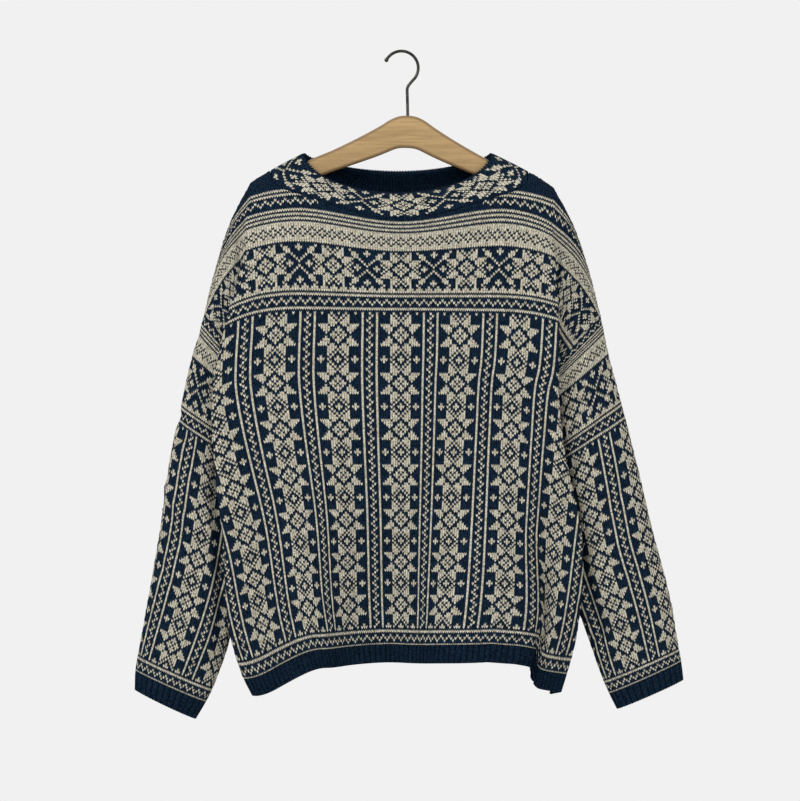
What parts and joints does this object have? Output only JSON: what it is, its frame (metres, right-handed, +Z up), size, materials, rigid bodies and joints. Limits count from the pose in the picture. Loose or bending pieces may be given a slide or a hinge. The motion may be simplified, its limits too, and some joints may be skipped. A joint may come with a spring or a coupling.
{
  "type": "wool sweater on a wooden hanger",
  "caption": "Loose knitted sweater with dropped shoulders, a wide doubled collar and ribbed cuffs and hem, hanging on a shaped wooden hanger with a wire hook.",
  "frame": {"origin": "inside of the hook's top, where a rail carries it", "axes": "+X to the wearer's left, +Y to the back, +Z up"},
  "size_m": [0.715, 0.1457, 0.871],
  "materials": {
    "wool_knit": "soft matt wool knit, navy with a cream pattern",
    "beech_wood": "pale lacquered wood",
    "hook_steel": "dark polished steel wire"
  },
  "bodies": {
    "root": {"body_front": "wool_knit", "body_back": "wool_knit", "sleeve_right": "wool_knit", "sleeve_left": "wool_knit", "neckband": "wool_knit", "hem_rib": "wool_knit", "cuff_right": "wool_knit", "cuff_left": "wool_knit", "hanger_wood": "beech_wood", "hanger_hook": "hook_steel"}
  },
  "joints": []
}
